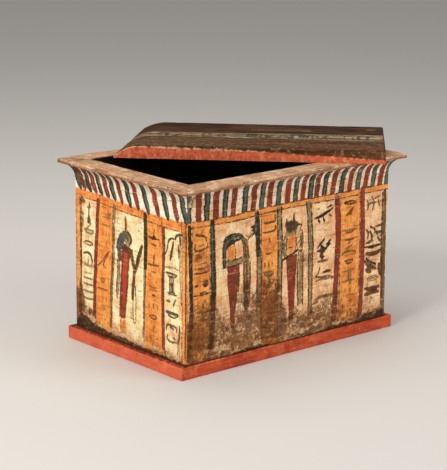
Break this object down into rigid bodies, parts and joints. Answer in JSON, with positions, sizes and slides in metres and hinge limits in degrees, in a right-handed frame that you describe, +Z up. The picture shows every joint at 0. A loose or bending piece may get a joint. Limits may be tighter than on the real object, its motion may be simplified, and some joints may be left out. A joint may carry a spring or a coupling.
{
  "type": "canopic chest",
  "caption": "Painted wooden canopic chest: a hollow box with a striped cavetto cornice on a low red plinth, its loose lid lying askew across the rim.",
  "frame": {"origin": "middle of the plinth's underside", "axes": "+Z up, +X along the chest's long side, front at -Y"},
  "size_m": [0.7851, 0.6632, 0.4451],
  "materials": {
    "plinth_red": "matt red paint, worn",
    "painted_panel": "matt ochre and cream paint on plaster, worn",
    "cornice_stripes": "matt cream, red and green stripes, worn",
    "lid_varnish": "darkened brown varnish, red painted edges"
  },
  "bodies": {
    "root": {"base_board": "plinth_red", "base_batten_left": "plinth_red", "base_batten_right": "plinth_red", "wall_front": "painted_panel", "wall_back": "painted_panel", "wall_left": "painted_panel", "wall_right": "painted_panel", "cornice_front": "cornice_stripes", "cornice_right": "cornice_stripes", "cornice_back": "cornice_stripes", "cornice_left": "cornice_stripes", "lid": "lid_varnish"}
  },
  "joints": []
}
